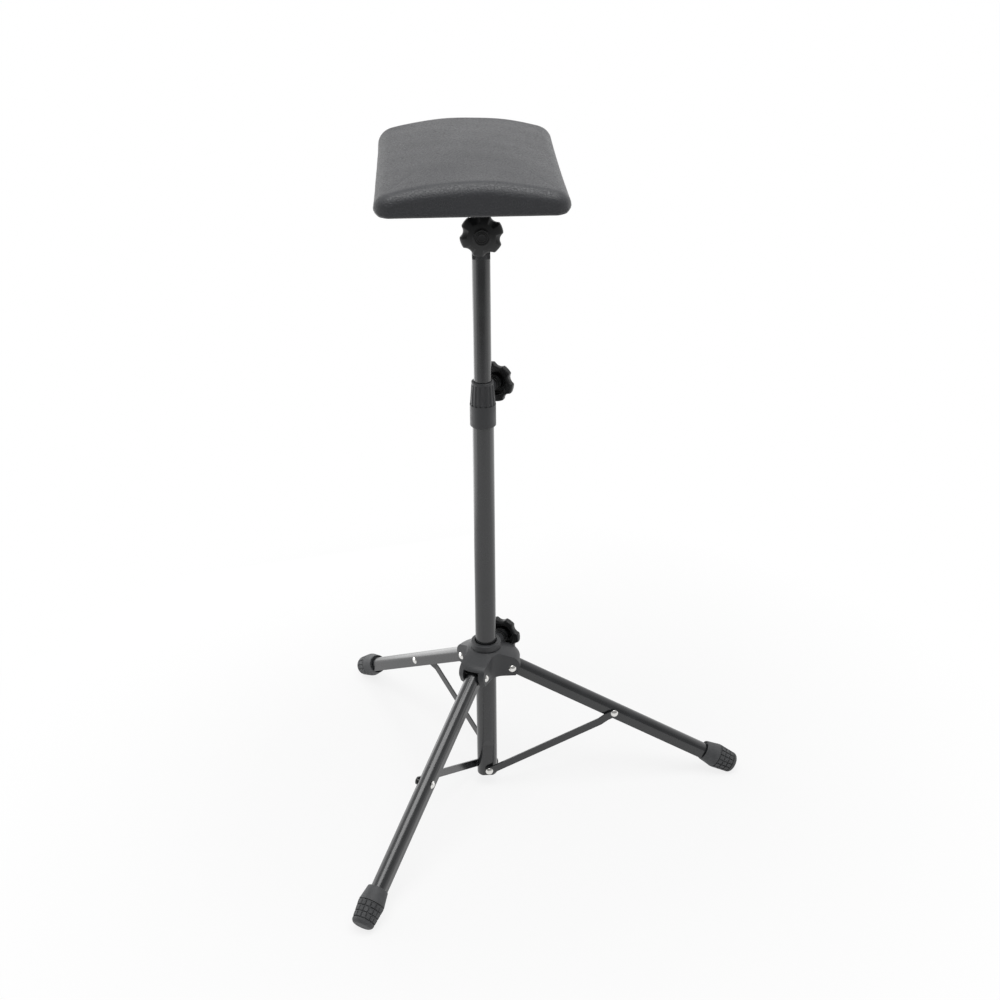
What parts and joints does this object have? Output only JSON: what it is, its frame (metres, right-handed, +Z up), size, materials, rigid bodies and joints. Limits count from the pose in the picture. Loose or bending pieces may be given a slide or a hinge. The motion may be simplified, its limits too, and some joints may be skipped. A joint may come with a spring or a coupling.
{
  "type": "arm rest stand",
  "caption": "Free-standing arm rest: a padded rectangular cushion that tilts on a telescopic pole, clamped by star knobs, on a folding tripod with rubber feet.",
  "frame": {"origin": "the point on the floor under the pole's axis, midway between the three feet", "axes": "+Z up along the pole; the pad lies along Y and tilts about Y, with its clamp knob on the -Y side; +X points along the right leg, which is turned 1.2 degrees from it"},
  "size_m": [0.5028, 0.57, 0.832],
  "materials": {
    "coated_steel": "satin",
    "moulded_plastic": "satin",
    "knob_plastic": "satin",
    "rubber": "matte",
    "bright_steel": "polished",
    "plated_steel": "satin",
    "brass": "satin",
    "white_nylon": "satin",
    "leatherette": "satin",
    "undercloth": "matte",
    "plywood": "matte"
  },
  "bodies": {
    "lower_pole": {"outer_pole": "coated_steel", "height_collar": "moulded_plastic", "collar_insert": "brass", "brace_spacers": "moulded_plastic", "pole_rivets": "bright_steel"},
    "slider": {"pole_guide": "white_nylon"},
    "upper_pole": {"inner_pole": "coated_steel", "pole_head": "moulded_plastic"},
    "pad": {"pad_bracket": "coated_steel", "pad_plate": "coated_steel", "pad_screws": "plated_steel", "pad_undercloth": "undercloth", "pad_board": "plywood", "pad_cushion": "leatherette", "tilt_bolt": "plated_steel", "tilt_washers": "white_nylon", "knob_washer": "plated_steel"},
    "tilt_clamp_knob": {"tilt_knob": "knob_plastic", "tilt_knob_nut": "brass", "tilt_knob_cap": "knob_plastic"},
    "height_clamp_knob": {"height_knob": "knob_plastic", "height_screw": "plated_steel", "height_knob_cap": "knob_plastic"},
    "hub": {"hub_casting": "moulded_plastic", "hub_rivets": "bright_steel", "hub_insert": "brass"},
    "hub_clamp_knob": {"hub_knob": "knob_plastic", "hub_screw": "plated_steel", "hub_knob_cap": "knob_plastic"},
    "leg_right_body": {"leg_right": "coated_steel", "foot_right": "rubber", "leg_rivet_right": "bright_steel"},
    "leg_back_body": {"leg_back": "coated_steel", "foot_back": "rubber", "leg_rivet_back": "bright_steel"},
    "leg_front_body": {"leg_front": "coated_steel", "foot_front": "rubber", "leg_rivet_front": "bright_steel"},
    "brace_right_body": {"brace_right": "coated_steel", "brace_rivet_right": "bright_steel"},
    "brace_back_body": {"brace_back": "coated_steel", "brace_rivet_back": "bright_steel"},
    "brace_front_body": {"brace_front": "coated_steel", "brace_rivet_front": "bright_steel"}
  },
  "joints": [
    {"name": "height_slide", "type": "slide", "parent": "lower_pole", "child": "slider", "axis": [0, 0, 1], "range_m": [-0.12, 0.24]},
    {"name": "swivel", "type": "hinge", "parent": "slider", "child": "upper_pole", "pos_m": [0, 0, 0.703], "axis": [0, 0, 1], "continuous": true},
    {"name": "pad_tilt", "type": "hinge", "parent": "upper_pole", "child": "pad", "pos_m": [0, 0, 0.7375], "axis": [0, 1, 0], "range_deg": [-90, 90]},
    {"name": "tilt_clamp", "type": "hinge", "parent": "pad", "child": "tilt_clamp_knob", "pos_m": [0, -0.02, 0.7375], "axis": [0, -1, 0], "range_deg": [0, 540]},
    {"name": "height_clamp", "type": "hinge", "parent": "lower_pole", "child": "height_clamp_knob", "pos_m": [0.01408, 0.02649, 0.5462], "axis": [0.4695, 0.8829, 0], "range_deg": [0, 540]},
    {"name": "hub_slide", "type": "slide", "parent": "lower_pole", "child": "hub", "axis": [0, 0, 1], "range_m": [0, 0.172]},
    {"name": "hub_clamp", "type": "hinge", "parent": "hub", "child": "hub_clamp_knob", "pos_m": [0.01927, 0.03505, 0.19604], "axis": [0.4818, 0.8763, 0], "range_deg": [0, 540]},
    {"name": "leg_right_fold", "type": "hinge", "parent": "hub", "child": "leg_right_body", "pos_m": [0.03179, 0.00067, 0.17904], "axis": [-0.0209, 0.9998, 0], "range_deg": [0, 59.6]},
    {"name": "leg_back_fold", "type": "hinge", "parent": "hub", "child": "leg_back_body", "pos_m": [-0.01647, 0.0272, 0.17904], "axis": [-0.8554, -0.518, 0], "range_deg": [0, 59.6]},
    {"name": "leg_front_fold", "type": "hinge", "parent": "hub", "child": "leg_front_body", "pos_m": [-0.01532, -0.02787, 0.17904], "axis": [0.8763, -0.4818, 0], "range_deg": [0, 59.6]},
    {"name": "brace_right_fold", "type": "hinge", "parent": "lower_pole", "child": "brace_right_body", "pos_m": [0.0018, 0.00004, 0.0247], "axis": [0.0209, -0.9998, 0], "range_deg": [0, 54.38]},
    {"name": "brace_back_fold", "type": "hinge", "parent": "lower_pole", "child": "brace_back_body", "pos_m": [-0.00093, 0.00154, 0.0247], "axis": [0.8554, 0.518, 0], "range_deg": [0, 54.38]},
    {"name": "brace_front_fold", "type": "hinge", "parent": "lower_pole", "child": "brace_front_body", "pos_m": [-0.00087, -0.00158, 0.0247], "axis": [-0.8763, 0.4818, 0], "range_deg": [0, 54.38]}
  ],
  "couplings": [
    {"joint": "leg_right_fold", "follows": "hub_slide", "rad_per_m": 6.0477},
    {"joint": "leg_back_fold", "follows": "hub_slide", "rad_per_m": 6.0477},
    {"joint": "leg_front_fold", "follows": "hub_slide", "rad_per_m": 6.0477},
    {"joint": "brace_right_fold", "follows": "hub_slide", "rad_per_m": 5.5172},
    {"joint": "brace_back_fold", "follows": "hub_slide", "rad_per_m": 5.5172},
    {"joint": "brace_front_fold", "follows": "hub_slide", "rad_per_m": 5.5172}
  ]
}
